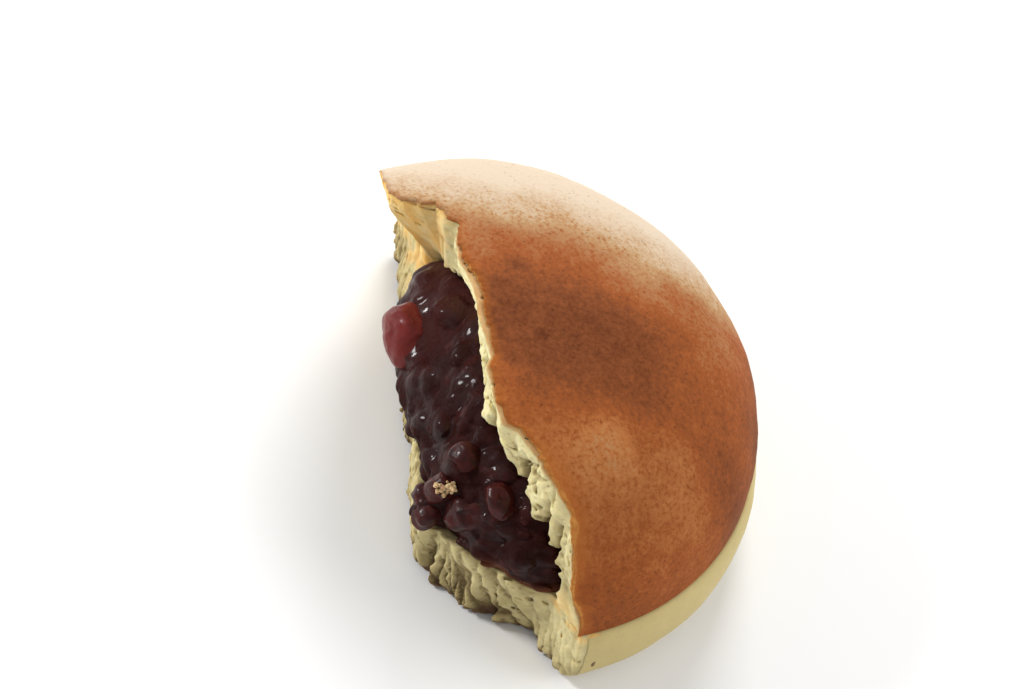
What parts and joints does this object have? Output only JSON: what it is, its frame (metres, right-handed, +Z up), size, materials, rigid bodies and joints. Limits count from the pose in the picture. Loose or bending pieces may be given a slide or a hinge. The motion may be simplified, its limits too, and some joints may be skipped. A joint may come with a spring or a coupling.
{
  "type": "dorayaki",
  "caption": "Torn half of a dorayaki: browned pancake dome over sweet red bean filling on a thick pale pancake, with a ragged torn face.",
  "frame": {"origin": "on the flat underside, at the centre of the round that the half was torn from", "axes": "+Z up through the browned top, -Y out of the torn face, +X along the tear"},
  "size_m": [0.0933, 0.0653, 0.0411],
  "materials": {
    "browned_top": "satin browned skin over pale torn crumb",
    "pale_crumb": "matte pale crumb with a browned underside",
    "bean_paste": "moist glossy bean paste"
  },
  "bodies": {
    "root": {"top_pancake": "browned_top", "bean_filling": "bean_paste", "bottom_pancake": "pale_crumb"}
  },
  "joints": []
}
